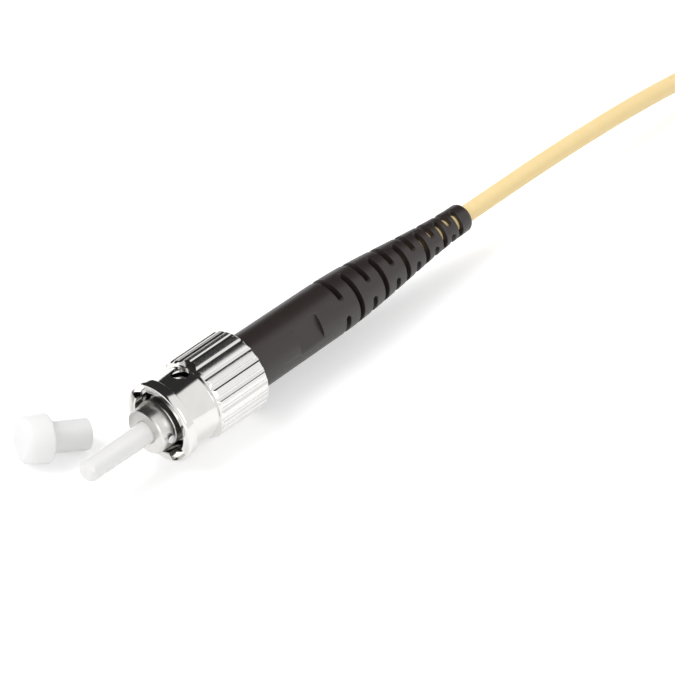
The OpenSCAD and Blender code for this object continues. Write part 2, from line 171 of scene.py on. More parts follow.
def mesh_of(name, verts, faces, material, sharp=30, place=None, weld=False):
    """A mesh in metres from points in millimetres, with outward faces and smooth shading.

    weld joins points that coincide into one."""
    mesh = bpy.data.meshes.new(name)
    mesh.from_pydata([tuple((place @ v if place else v) * MM) for v in verts], [], faces)
    if not weld:
        mesh.validate()
    shape = bmesh.new()
    shape.from_mesh(mesh)
    if weld:
        bmesh.ops.remove_doubles(shape, verts=shape.verts, dist=1e-7)
        bmesh.ops.dissolve_degenerate(shape, dist=1e-7, edges=shape.edges)
    bmesh.ops.recalc_face_normals(shape, faces=shape.faces)
    shape.to_mesh(mesh)
    shape.free()
    shade(mesh, sharp)
    mesh.materials.append(material)
    return mesh


def shade(mesh, sharp=30):
    for polygon in mesh.polygons:
        polygon.use_smooth = True
    mesh.set_sharp_from_angle(angle=math.radians(sharp))


def linked(name, mesh):
    obj = bpy.data.objects.new(name, mesh)
    bpy.context.scene.collection.objects.link(obj)
    return obj


def settle(obj, sharp=30):
    """Applies an object's modifiers, leaving one plain mesh."""
    graph = bpy.context.evaluated_depsgraph_get()
    graph.update()
    mesh = bpy.data.meshes.new_from_object(obj.evaluated_get(graph), depsgraph=graph)
    obj.modifiers.clear()
    old = obj.data
    obj.data = mesh
    mesh.name = obj.name
    bpy.data.meshes.remove(old)
    shade(mesh, sharp)
    return obj


def softened(obj, width, segments=2, angle=35, sharp=30):
    """Rounds an object's sharp edges by width millimetres."""
    bevel = obj.modifiers.new("soft edges", "BEVEL")
    bevel.width = width * MM
    bevel.segments = segments
    bevel.limit_method = "ANGLE"
    bevel.angle_limit = math.radians(angle)
    bevel.use_clamp_overlap = True
    bevel.harden_normals = False
    return settle(obj, sharp)


def finished(obj, body, slot, *nodes):
    """Puts a piece on its body and hides the CAD nodes it stands for. slot, the name of its finish, is
    not used.
    """
    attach(obj, body)
    if nodes:
        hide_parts(*nodes)
    return obj


def cut_away(obj, cutter):
    """Takes the cutter's solid out of the object."""
    cut = obj.modifiers.new("cut", "BOOLEAN")
    cut.operation = "DIFFERENCE"
    cut.solver = "MANIFOLD"
    cut.object = cutter
    settle(obj)
    mesh = cutter.data
    bpy.data.objects.remove(cutter)
    bpy.data.meshes.remove(mesh)
    return obj


# ---------------------------------------------------------------------------
# Shader node helpers
# ---------------------------------------------------------------------------

def add(tree, kind, values=None, **props):
    node = tree.nodes.new(kind)
    for key, value in props.items():
        setattr(node, key, value)
    for key, value in (values or {}).items():
        node.inputs[key].default_value = value
    return node


def join(tree, source, target):
    tree.links.new(source, target)


# ---------------------------------------------------------------------------
# Finishes
# ---------------------------------------------------------------------------

def new_material(name):
    material = bpy.data.materials.new(name)
    material.use_nodes = True
    tree = material.node_tree
    tree.nodes.clear()
    out = tree.nodes.new("ShaderNodeOutputMaterial")
    shader = tree.nodes.new("ShaderNodeBsdfPrincipled")
    join(tree, shader.outputs[0], out.inputs[0])
    return material, tree, shader


def noise(tree, scale, detail=2.0, stretch=(1, 1, 1), rough=0.5):
    """Noise on Object coordinates; scale is in features per millimetre."""
    where = add(tree, "ShaderNodeTexCoord")
    mapping = add(tree, "ShaderNodeMapping")
    mapping.inputs["Scale"].default_value = [1000 * k for k in stretch]
    join(tree, where.outputs["Object"], mapping.inputs["Vector"])
    texture = add(tree, "ShaderNodeTexNoise", {"Scale": scale, "Detail": detail, "Roughness": rough})
    join(tree, mapping.outputs["Vector"], texture.inputs["Vector"])
    return texture.outputs["Fac"]


def spread(tree, value, low, high, at=(0.35, 0.65)):
    """Maps a value from its own range to low..high."""
    node = add(tree, "ShaderNodeMapRange")
    node.inputs["From Min"].default_value, node.inputs["From Max"].default_value = at
    node.inputs["To Min"].default_value, node.inputs["To Max"].default_value = low, high
    join(tree, value, node.inputs["Value"])
    return node.outputs["Result"]


def blended(tree, factor, first, second):
    node = add(tree, "ShaderNodeMix", data_type="RGBA")
    node.inputs["A"].default_value = (*first, 1)
    node.inputs["B"].default_value = (*second, 1)
    join(tree, factor, node.inputs["Factor"])
    return node.outputs["Result"]


def bumped(tree, shader, height, strength, distance):
    node = add(tree, "ShaderNodeBump", {"Strength": strength, "Distance": distance * MM})
    join(tree, height, node.inputs["Height"])
    join(tree, node.outputs["Normal"], shader.inputs["Normal"])
    return node


def metal(name, colour, rough, spread_by=0.04, grain=8, stretch=(1, 1, 1), bump=0.0, tint=None):
    """Plated metal: colour and gloss vary a little, with fine machining marks."""
    material, tree, shader = new_material(name)
    shader.inputs["Metallic"].default_value = 1
    marks = noise(tree, grain, 3, stretch)
    cloud = noise(tree, 0.5, 2)
    dull = tint or tuple(c * 0.9 for c in colour)
    join(tree, blended(tree, cloud, colour, dull), shader.inputs["Base Color"])
    join(tree, spread(tree, marks, rough - spread_by, rough + spread_by), shader.inputs["Roughness"])
    if bump:
        bumped(tree, shader, marks, 0.4, bump)
    return material


def plastic(name, colour, rough, second=None, grain=3, bump=0.01, specular=0.5, body=0.0,
            depth=1.0, coat=0.0):
    """Moulded plastic or ceramic with slight colour and gloss variation."""
    material, tree, shader = new_material(name)
    cloud = noise(tree, grain * 0.3, 3)
    fine = noise(tree, grain, 4)
    join(tree, blended(tree, cloud, colour, second or tuple(c * 0.93 for c in colour)),
         shader.inputs["Base Color"])
    join(tree, spread(tree, fine, rough - 0.05, rough + 0.05), shader.inputs["Roughness"])
    shader.inputs["Specular IOR Level"].default_value = specular
    if body:
        shader.inputs["Subsurface Weight"].default_value = body
        shader.inputs["Subsurface Radius"].default_value = (depth * MM, depth * MM, depth * MM)
        shader.inputs["Subsurface Scale"].default_value = 1.0
    if coat:
        shader.inputs["Coat Weight"].default_value = coat
        shader.inputs["Coat Roughness"].default_value = 0.08
    if bump:
        bumped(tree, shader, fine, 0.35, bump)
    return material


def finishes():
    """Every finish of the connector, by name."""
    made = {}
    made["nut"] = metal("bright nickel", (0.80, 0.79, 0.77), 0.10, 0.04, 6, (0.4, 3, 3), 0.002)
    made["land"] = metal("satin nickel lands", (0.86, 0.85, 0.84), 0.30, 0.05, 9, (0.3, 3, 3), 0.002)
    made["barrel"] = metal("satin barrel", (0.72, 0.71, 0.69), 0.30, 0.06, 10, (3, 1, 1), 0.002)
    made["steel"] = metal("ground steel", (0.62, 0.62, 0.62), 0.28, 0.06, 12)
    made["dark steel"] = metal("dark spring steel", (0.36, 0.36, 0.37), 0.35, 0.06, 10)
    made["brass"] = metal("crimped brass", (0.72, 0.58, 0.32), 0.32, 0.08, 6, bump=0.006,
                          tint=(0.56, 0.45, 0.26))
    made["zirconia"] = plastic("zirconia", (0.86, 0.85, 0.84), 0.16, (0.83, 0.83, 0.82), 2,
                               0.0, 0.75, 0.35, 0.6, 0.3)
    made["boot"] = plastic("boot elastomer", (0.022, 0.016, 0.015), 0.40, (0.028, 0.020, 0.019), 6,
                           0.006, 0.6)
    made["jacket"] = plastic("lead jacket", (0.95, 0.71, 0.33), 0.45, (0.97, 0.77, 0.42), 5,
                             0.012, 0.4, 0.15, 0.4)
    made["cap"] = plastic("cap polyethylene", (0.90, 0.90, 0.90), 0.38, (0.88, 0.88, 0.87), 2,
                          0.006, 0.45, 0.6, 1.5)
    made["buffer"] = plastic("white buffer", (0.86, 0.86, 0.84), 0.35, None, 4, 0.004, 0.5, 0.2, 0.3)
    made["tube"] = plastic("clear tube", (0.78, 0.76, 0.68), 0.25, None, 4, 0.0, 0.5, 0.5, 0.5)
    made["strap"] = plastic("loop strap", (0.035, 0.035, 0.037), 0.8, (0.055, 0.055, 0.057),
                            12, 0.06, 0.2)
    made["aramid"] = plastic("aramid yarn", (0.80, 0.62, 0.20), 0.5, (0.90, 0.74, 0.32), 10, 0.02, 0.4)
    glass, tree, shader = new_material("fibre glass")
    shader.inputs["Base Color"].default_value = (0.85, 0.92, 0.95, 1)
    shader.inputs["Transmission Weight"].default_value = 0.8
    join(tree, spread(tree, noise(tree, 6), 0.04, 0.10), shader.inputs["Roughness"])
    made["fibre"] = glass
    return made


FINISH = finishes()


# ---------------------------------------------------------------------------
# The lead's route: the free run, the hank and the tail
# ---------------------------------------------------------------------------

RUN = [
    (0, 0, 0), (5, 0, 0), (10, 0, 0), (15, 0, -0.1), (20, 0, -0.3), (25, 0, -0.6),
    (30, 0, -1.05), (35, -0.1, -1.6), (40, -0.4, -2.2), (45, -0.9, -2.8), (50, -1.5, -3.25),
    (55, -2.1, -3.5), (60, -2.6, -3.6), (64, -2.9, -3.4),
]
HANK_X, HANK_Y, HANK_RUN, HANK_FOLD = 70, 3, 30, 12
HANK_LAYERS, HANK_LIFT = 5, 0.35
TAIL_X = 114
CABLE_D = 2.0


def hank_route():
    """Centre line through the hank: up its inner column, down its outer one, out along the table."""
    x0 = BOOT_END + HANK_X
    x1 = x0 + HANK_RUN
    low = TABLE + HANK_LIFT + CABLE_D / 2
    out = []

    def level(layer):
        return low + layer * CABLE_D

    def turn(radius, layer, rise, reach):
        """One turn from the near run's start: near run, far fold, far run, near fold with a climb.

        reach is the next turn's radius, which the near fold eases out to."""
        z = level(layer)
        for k in range(1, 7):
            out.append((x0 + HANK_RUN * k / 6, HANK_Y - radius, z))
        for k in range(1, 10):
            a = math.radians(-90 + 20 * k)
            out.append((x1 + radius * math.cos(a), HANK_Y + radius * math.sin(a), z))
        for k in range(1, 7):
            out.append((x1 - HANK_RUN * k / 6, HANK_Y + radius, z))
        for k in range(1, 10):
            a = math.radians(90 + 20 * k)
            t = k / 9
            ease = t * t * (3 - 2 * t)
            r = radius + (reach - radius) * ease
            out.append((x0 + r * math.cos(a), HANK_Y + r * math.sin(a), z + rise * CABLE_D * ease))

    inner, outer = HANK_FOLD / 2, HANK_FOLD / 2 + CABLE_D
    out.append((x0, HANK_Y - inner, level(0)))
    for layer in range(HANK_LAYERS - 1):
        turn(inner, layer, 1, inner)
    turn(inner, HANK_LAYERS - 1, 0, outer)
    for layer in range(HANK_LAYERS - 1, 1, -1):
        turn(outer, layer, -1, outer)
    turn(outer, 1, 0, outer)
    z1, z0 = level(1), level(0)
    for k in range(1, 11):
        t = k / 10
        ease = t * t * (3 - 2 * t)
        out.append((x0 + HANK_RUN * 0.75 * t, HANK_Y - outer, z1 + (z0 - z1) * ease))
    out.append((x1, HANK_Y - outer, z0 - 0.1))
    out.append((x1 + 7, HANK_Y - outer, TABLE + CABLE_D / 2))
    out.append((BOOT_END + TAIL_X, HANK_Y - outer, TABLE + CABLE_D / 2))
    return out


def lead_route(step=0.9):
    """Points every step millimetres on one smooth curve from the boot's end to the cut end."""
    knots = [Vector((BOOT_END + x, y, z)) for x, y, z in RUN] + [Vector(p) for p in hank_route()]
    dense = []
    for i in range(len(knots) - 1):
        a, b = knots[max(i - 1, 0)], knots[i]
        c, d = knots[i + 1], knots[min(i + 2, len(knots) - 1)]
        count = max(2, round((c - b).length / 0.25))
        for k in range(count):
            t = k / count
            dense.append(0.5 * (2 * b + (c - a) * t + (2 * a - 5 * b + 4 * c - d) * t ** 2
                                + (3 * b - a - 3 * c + d) * t ** 3))
    dense.append(knots[-1])
    out, gone = [dense[0]], 0.0
    for a, b in zip(dense, dense[1:]):
        length = (b - a).length
        while gone + length >= step:
            a = a + (b - a).normalized() * (step - gone)
            length = (b - a).length
            out.append(a)
            gone = 0.0
        gone += length
    if (out[-1] - dense[-1]).length < step * 0.5:
        out.pop()
    out.append(dense[-1])
    for p in out:
        p.z = max(p.z, TABLE + CABLE_D / 2)
    return out


# ---------------------------------------------------------------------------
# Settings
# ---------------------------------------------------------------------------

def length(name, description, default):
    return bpy.props.FloatProperty(name=name, description=description, default=default * MM,
                                   min=0.0, precision=5, unit="LENGTH")


class NutSettings(bpy.types.PropertyGroup):
    flutes: bpy.props.IntProperty(name="Flutes", description="Flutes round the grip", default=22,
                                  min=8, max=40)
    flute_depth: length("Flute depth", "Depth of each flute below the grip", 0.2)
    shoulder: length("Shoulder", "Drop of a land's rounded shoulders", 0.035)


class BootSettings(bpy.types.PropertyGroup):
    reliefs: bpy.props.IntProperty(name="Reliefs", description="Stations of bend-relief slots",
                                   default=12, min=2, max=12)
    relief_width: length("Slot width", "Width of the bend-relief slots", 0.68)
    edge: length("Edge", "Rounding of the slots' edges", 0.09)


class LeadSettings(bpy.types.PropertyGroup):
    diameter: length("Diameter", "Outside diameter of the lead's jacket", CABLE_D)
    sides: bpy.props.IntProperty(name="Sides", description="Faces round the jacket", default=24,
                                 min=8, max=48)


class StageSettings(bpy.types.PropertyGroup):
    floor: bpy.props.FloatVectorProperty(name="Floor", description="Colour of the floor", size=3,
                                         subtype="COLOR", default=(0.82, 0.82, 0.82))
    distance: length("Distance", "Distance of the camera from the ferrule's tip", 600)
    lens: bpy.props.FloatProperty(name="Lens", description="Focal length of the camera",
                                  default=309.8, unit="CAMERA")


# ---------------------------------------------------------------------------
# Operators
# ---------------------------------------------------------------------------

class FIBRE_OT_stage(bpy.types.Operator):
    """Make the camera, the floor, the lamps and the world"""
    bl_idname = "fibre.stage"
    bl_label = "Stage"

    def execute(self, context):
        settings = context.scene.fibre_stage
        scene = context.scene
        scene.view_settings.view_transform = "Standard"
        ahead = Vector((0.5345, 0.5197, -0.6665)).normalized()
        right = ahead.cross(Vector((0, 0, 1))).normalized()
        up = right.cross(ahead)
        data = bpy.data.cameras.new("camera")
        data.sensor_width = 36
        data.lens = settings.lens
        data.clip_start, data.clip_end = 0.01, 10
        camera = bpy.data.objects.new("camera", data)
        scene.collection.objects.link(camera)
        back = settings.distance
        place = right * 0.02608 + up * 0.01405 - ahead * back
        turn = Matrix((right, up, -ahead)).transposed().to_4x4()
        camera.matrix_world = Matrix.Translation(place) @ turn
        scene.camera = camera
        self.floor(settings)
        self.lamp("front softbox", (-0.25, -0.62, 0.42), 0.5, 0.5, 1.5)
        self.lamp("top softbox", (-0.30, 0.35, 0.62), 0.5, 0.5, 3.0, False)
        self.lamp("rear softbox", (0.50, 0.25, 0.60), 0.45, 0.45, 0.9, False)
        self.world(scene)
        return {"FINISHED"}

    def floor(self, settings):
        size = 1.5
        mesh = bpy.data.meshes.new("floor")
        mesh.from_pydata([(x * size, y * size, TABLE * MM) for x, y in
                          ((-1, -1), (1, -1), (1, 1), (-1, 1))], [], [(0, 1, 2, 3)])
        material = bpy.data.materials.new("white floor")
        material.use_nodes = True
        tree = material.node_tree
        tree.nodes.clear()
        out = add(tree, "ShaderNodeOutputMaterial")
        matt = add(tree, "ShaderNodeBsdfDiffuse", {"Color": (*settings.floor, 1)})
        glow = add(tree, "ShaderNodeEmission")
        path = add(tree, "ShaderNodeLightPath")
        both = add(tree, "ShaderNodeMath", operation="MAXIMUM")
        join(tree, path.outputs["Is Camera Ray"], both.inputs[0])
        join(tree, path.outputs["Is Glossy Ray"], both.inputs[1])
        more = add(tree, "ShaderNodeMath", operation="MAXIMUM")
        join(tree, both.outputs[0], more.inputs[0])
        join(tree, path.outputs["Is Transmission Ray"], more.inputs[1])
        level = add(tree, "ShaderNodeMath", {1: 0.38}, operation="MULTIPLY")
        join(tree, more.outputs[0], level.inputs[0])
        join(tree, level.outputs[0], glow.inputs["Strength"])
        total = add(tree, "ShaderNodeAddShader")
        join(tree, matt.outputs[0], total.inputs[0])
        join(tree, glow.outputs[0], total.inputs[1])
        join(tree, total.outputs[0], out.inputs[0])
        mesh.materials.append(material)
        linked("floor", mesh)

    def lamp(self, name, place, width, height, power, mirrored=True):
        data = bpy.data.lights.new(name, "AREA")
        data.shape = "RECTANGLE"
        data.size, data.size_y = width, height
        data.energy = power
        lamp = bpy.data.objects.new(name, data)
        bpy.context.scene.collection.objects.link(lamp)
        lamp.visible_glossy = mirrored
        away = Vector(place) - Vector((0.03, 0, 0))
        lamp.matrix_world = (Matrix.Translation(place)
                             @ away.to_track_quat("Z", "Y").to_matrix().to_4x4())

    def world(self, scene):
        world = bpy.data.worlds.new("studio")
        scene.world = world
        world.use_nodes = True
        tree = world.node_tree
        tree.nodes.clear()
        out = add(tree, "ShaderNodeOutputWorld")
        where = add(tree, "ShaderNodeTexCoord")
        parts = add(tree, "ShaderNodeSeparateXYZ")
        join(tree, where.outputs["Generated"], parts.inputs[0])
        # the studio's far side is dark, so bright metal has a dark side too
        far = add(tree, "ShaderNodeMapRange", {"From Min": -0.02, "From Max": 0.10,
                                               "To Min": 1.0, "To Max": 0.03},
                  interpolation_type="SMOOTHSTEP")
        join(tree, parts.outputs["Y"], far.inputs["Value"])
        studio = add(tree, "ShaderNodeBackground")
        join(tree, far.outputs["Result"], studio.inputs["Strength"])
        plain = add(tree, "ShaderNodeBackground", {"Strength": 0.55})
        white = add(tree, "ShaderNodeBackground", {"Strength": 1.0})
        for node in (studio, plain, white):
            node.inputs["Color"].default_value = (1, 1, 1, 1)
        path = add(tree, "ShaderNodeLightPath")
        clear = add(tree, "ShaderNodeMath", operation="MAXIMUM")
        join(tree, path.outputs["Is Camera Ray"], clear.inputs[0])
        join(tree, path.outputs["Is Transmission Ray"], clear.inputs[1])
        first = add(tree, "ShaderNodeMixShader")
        join(tree, path.outputs["Is Glossy Ray"], first.inputs[0])
        join(tree, plain.outputs[0], first.inputs[1])
        join(tree, studio.outputs[0], first.inputs[2])
        last = add(tree, "ShaderNodeMixShader")
        join(tree, clear.outputs[0], last.inputs[0])
        join(tree, first.outputs[0], last.inputs[1])
        join(tree, white.outputs[0], last.inputs[2])
        join(tree, last.outputs[0], out.inputs[0])


class FIBRE_OT_lead(bpy.types.Operator):
    """Lay the free lead with its hank, and its strap"""
    bl_idname = "fibre.lead"
    bl_label = "Lead"

    def execute(self, context):
        settings = context.scene.fibre_lead
        radius = settings.diameter / MM / 2
        points = lead_route()
        verts, faces, marks = swept(points, radius, settings.sides)
        mesh = mesh_of("lead", verts, faces, FINISH["jacket"])
        layer = mesh.uv_layers.new(name="along")
        for loop in mesh.loops:
            layer.data[loop.index].uv = marks[loop.vertex_index]
        lead = finished(linked("lead", mesh), "connector", "jacket_pvc",
                        "cable_run", "cable_hank", "cable_tail")
        strap = self.strap()
        return {"FINISHED"}

    def strap(self):
        low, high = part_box("hank_tie")
        x0, x1 = low[0] / MM, high[0] / MM
        y0, y1, z0, z1 = low[1] / MM, high[1] / MM, low[2] / MM, high[2] / MM
        thick = HANK_LIFT
        outline = []
        corner = 1.3
        for cy, cz, first in ((y1, z1, 0), (y0, z1, 90), (y0, z0, 180), (y1, z0, 270)):
            sy, sz = (1 if cy == y1 else -1), (1 if cz == z1 else -1)
            for k in range(7):
                a = math.radians(first + 15 * k)
                outline.append((cy - sy * corner, cz - sz * corner, math.cos(a), math.sin(a)))
        verts, faces = [], []
        columns = [(x0, 0), (x0, 1), (x1, 1), (x1, 0)]
        for y, z, cy, cz in outline:
            for x, outside in columns:
                reach = corner - (0 if outside else thick)
                verts.append(Vector((x, y + cy * reach, z + cz * reach)))
        count = len(outline)
        for i in range(count):
            j = (i + 1) % count
            for k in range(4):
                n = (k + 1) % 4
                faces.append((i * 4 + k, i * 4 + n, j * 4 + n, j * 4 + k))
        mesh = mesh_of("hank_strap", verts, faces, FINISH["strap"])
        return finished(softened(linked("hank_strap", mesh), 0.08), "connector", "tie_plastic",
                        "hank_tie")


class FIBRE_OT_ferrule(bpy.types.Operator):
    """Turn the ceramic ferrule"""
    bl_idname = "fibre.ferrule"
    bl_label = "Ferrule"

    def execute(self, context):
        end = node_span("ferrule", 0)[1]
        profile = rounded([(0.02, 0.0), (0.0, 0.45), (0.03, 0.93), (0.45, 1.25), (end - 0.3, 1.25),
                           (end, 0.95), (end, 0.0)], {2: 0.12, 3: 0.25, 4: 0.1, 5: 0.1}, 4)
        verts, faces = turned(profile, 96, closed=False)
        mesh = mesh_of("ferrule_ceramic", verts, faces, FINISH["zirconia"])
        finished(linked("ferrule_ceramic", mesh), "connector", "zirconia", "ferrule")
        return {"FINISHED"}


class FIBRE_OT_barrel(bpy.types.Operator):
    """Turn the barrel and set its key pin"""
    bl_idname = "fibre.barrel"
    bl_label = "Barrel and key"

    def execute(self, context):
        face, end = BARREL_FACE, BARREL_END
        outer = node_span("ferrule_barrel", 2)[1]
        line = face + 1.85
        profile = rounded([
            (face + 0.1, 1.26), (face, 1.38), (face, outer - 0.14), (face + 0.14, outer),
            (line, outer), (line + 0.07, outer - 0.07), (line + 0.14, outer),
            (end, outer), (end, 2.01), (end - 1.35, 2.01), (end - 1.35, 1.26),
        ], {1: 0.05, 2: 0.06, 3: 0.08}, 3)
        verts, faces = turned(profile, 128)
        mesh = mesh_of("barrel_turned", verts, faces, FINISH["barrel"])
        finished(linked("barrel_turned", mesh), "connector", "barrel_nickel", "ferrule_barrel")
        top = outer + 0.45
        pin = rounded([(0, outer - 0.3), (0.5, outer - 0.3), (0.5, top), (0, top)], {2: 0.12}, 3)
        verts, faces = turned([(p[1], p[0]) for p in pin], 40, closed=False)
        place = (Matrix.Translation((face + 1.0, 0, 0)) @ Matrix.Rotation(math.radians(174), 4, "X")
                 @ Matrix.Rotation(math.radians(90), 4, "Z"))
        mesh = mesh_of("key_pin_ground", verts, faces, FINISH["steel"], place=place)
        finished(linked("key_pin_ground", mesh), "connector", "pin_steel", "key_pin")
        return {"FINISHED"}


class FIBRE_OT_nut(bpy.types.Operator):
    """Make the bayonet coupling nut"""
    bl_idname = "fibre.nut"
    bl_label = "Coupling nut"

    BORE, NECK, OUTSIDE = 3.6, 4.15, 4.7
    RING, GRIP = 1.15, 4.75
    SLOT_ANGLE, LOCK_TURN, LOCK_BACK = 44.0, 36.5, 4.0

    def execute(self, context):
        settings = context.scene.fibre_nut
        x, end = NUT_FRONT, NUT_REAR
        grip = x + self.GRIP
        profile = [
            (x, self.BORE + 0.12), (x, self.OUTSIDE - 0.24), (x + 0.24, self.OUTSIDE),
            (x + self.RING - 0.07, self.OUTSIDE), (x + self.RING, self.OUTSIDE - 0.07),
            (x + self.RING, self.NECK), (grip, self.NECK),
            (grip + 0.12, self.OUTSIDE - 0.22), (grip + 0.5, self.OUTSIDE),
            (end - 0.25, self.OUTSIDE), (end, self.OUTSIDE - 0.25),
            (end, 3.55), (end - 0.1, 3.45), (end - 1.09, 3.45), (end - 1.09, 2.2),
            (end - 1.74, 2.2), (end - 1.74, self.BORE), (x + 0.12, self.BORE),
        ]
        profile = rounded(profile, {0: 0.04, 1: 0.14, 2: 0.14, 3: 0.04, 4: 0.04, 5: 0.06, 6: 0.06,
                                    7: 0.05, 8: 0.1, 9: 0.1, 10: 0.06, 11: 0.04, 12: 0.04}, 3)
        steps = 24
        depth = settings.flute_depth / MM
        shoulder = settings.shoulder / MM
        pitch = 360 / settings.flutes

        def fluted(px, r, angle):
            """Radius of the grip at an angle: round-bottomed flutes between crowned lands."""
            if px < grip - 0.01 or r < self.NECK + 0.01:
                return r
            off = (angle / pitch + 0.5) % 1 - 0.5
            aside = abs(off) * pitch
            groove = 3.9
            if aside < groove:
                floor = self.OUTSIDE - depth * math.sqrt(max(0.0, 1 - (aside / groove) ** 2))
            else:
                t = (aside - groove) / (pitch / 2 - groove)
                floor = self.OUTSIDE - shoulder * (1 - t) ** 2
            return min(r, floor)

        fine = []
        for a, b in zip(profile, profile[1:]):
            fine.append(a)
            if grip - 0.05 < a[0] < grip + 0.7 and a[1] > self.NECK and b[0] > a[0]:
                for k in range(1, 4):
                    fine.append(a.lerp(b, k / 4) if b[0] - a[0] < 1 else a)
        fine.append(profile[-1])
        clean = [fine[0]]
        for p in fine[1:]:
            if (p - clean[-1]).length > 1e-4:
                clean.append(p)
        verts, faces = turned(clean, settings.flutes * steps, shape=fluted)
        mesh = mesh_of("nut_plated", verts, faces, FINISH["nut"])
        nut = linked("nut_plated", mesh)
        for cutter in self.cutters():
            cut_away(nut, cutter)
        self.mark_lands(nut, grip)
        finished(nut, "nut", "nut_nickel", "coupling_nut")
        return {"FINISHED"}

    def cutters(self):
        """The entry slots, ramps, lock holes and spot faces, one solid each."""
        x = NUT_FRONT
        channel = self.NECK - 0.23
        for turn in (0, 180):
            angle = self.SLOT_ANGLE + turn
            lock = angle + self.LOCK_TURN
            yield self.block(angle, 1.35, self.OUTSIDE - 0.32, x - 1, x + self.RING - 0.2)
            yield self.block(angle, 1.35, channel, x - 0.9, x + self.RING + 1.9)
            yield self.ramp(angle, channel)
            yield self.plug(x + self.LOCK_BACK, lock, 1.0, 2.6, 5.4)
            yield self.plug(x + self.LOCK_BACK, lock, 1.7, self.NECK - 0.01, 5.5)

    def solid(self, verts, faces):
        return linked("cutter", mesh_of("cutter", verts, faces, FINISH["nut"]))

    def block(self, angle, half, reach, x0, x1):
        """A slot cutter along X with parallel sides and a round top."""
        arc = math.degrees(math.asin(half / reach))
        outline = [(half, 3.0), (-half, 3.0)]
        outline += [(reach * math.sin(math.radians(-arc + arc * k / 6)),
                     reach * math.cos(math.radians(-arc + arc * k / 6))) for k in range(13)]
        turn = Matrix.Rotation(math.radians(angle), 4, "X")
        verts = [turn @ Vector((x, up, side)) for x in (x0, x1) for side, up in outline]
        n = len(outline)
        faces = [tuple(range(n)), tuple(range(2 * n - 1, n - 1, -1))]
        faces += [(k, (k + 1) % n, (k + 1) % n + n, k + n) for k in range(n)]
        return self.solid(verts, faces)

    def ramp(self, angle, reach):
        """The sloping part of a lug's way, swept round the bore."""
        wide = 0.98
        start = Vector((self.RING + 1.3, 0.0))
        middle = Vector((self.LOCK_BACK - 0.25, 0.62 * self.LOCK_TURN))
        end = Vector((self.LOCK_BACK, self.LOCK_TURN))
        rows = 22
        verts = []
        for r in (3.0, reach):
            for k in range(rows + 1):
                t = k / rows
                flat = (start.lerp(middle, t / 0.62) if t < 0.62
                        else middle.lerp(end, (t - 0.62) / 0.38))
                verts += [point_round(NUT_FRONT + flat[0] + side * wide, r, angle + flat[1])
                          for side in (-1, 1)]
        n = (rows + 1) * 2
        faces = []
        for k in range(rows):
            a = 2 * k
            faces += [(a, a + 1, a + 3, a + 2), (n + a, n + a + 2, n + a + 3, n + a + 1),
                      (a, a + 2, n + a + 2, n + a), (a + 1, n + a + 1, n + a + 3, a + 3)]
        faces += [(0, n, n + 1, 1), (2 * rows, 2 * rows + 1, n + 2 * rows + 1, n + 2 * rows)]
        return self.solid(verts, faces)

    def plug(self, x, angle, r, r0, r1):
        """A round cutter that points out from the axis."""
        n = 48
        turn = Matrix.Translation((x, 0, 0)) @ Matrix.Rotation(math.radians(angle), 4, "X")
        bends = [2 * math.pi * k / n for k in range(n)]
        verts = [turn @ Vector((r * math.cos(a), out, r * math.sin(a)))
                 for out in (r0, r1) for a in bends]
        faces = [tuple(range(n)), tuple(range(2 * n - 1, n - 1, -1))]
        faces += [(k, (k + 1) % n, (k + 1) % n + n, k + n) for k in range(n)]
        return self.solid(verts, faces)

    def mark_lands(self, nut, grip):
        """Gives the grip's lands their satin finish."""
        mesh = nut.data
        mesh.materials.append(FINISH["land"])
        for polygon in mesh.polygons:
            c = polygon.center / MM
            r = math.hypot(c[1], c[2])
            if c[0] > grip + 0.1 and r > self.OUTSIDE - 0.06:
                polygon.material_index = 1


class FIBRE_OT_spring(bpy.types.Operator):
    """Wind the spring that the nut works against"""
    bl_idname = "fibre.spring"
    bl_label = "Spring"

    def execute(self, context):
        first, last = node_span("spring", 0)
        wire, mean, turns, closed, travel = 0.2, 2.55, 5, 0.75, 2.2
        low, high = first + wire, last - wire
        rise = wire * 2 * closed
        points = []
        for k in range(turns * 32 + 1):
            t = k / 32
            if t < closed:
                x = low + rise * t / closed
            elif t > turns - closed:
                x = high - rise * (turns - t) / closed
            else:
                x = low + rise + (high - low - 2 * rise) * (t - closed) / (turns - 2 * closed)
            points.append(point_round(x, mean, 360 * t))
        verts, faces, _ = swept(points, wire, 12)
        mesh = mesh_of("spring_wound", verts, faces, FINISH["steel"])
        wound = finished(linked("spring_wound", mesh), "connector", "spring_steel", "spring")
        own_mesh(wound)
        return {"FINISHED"}


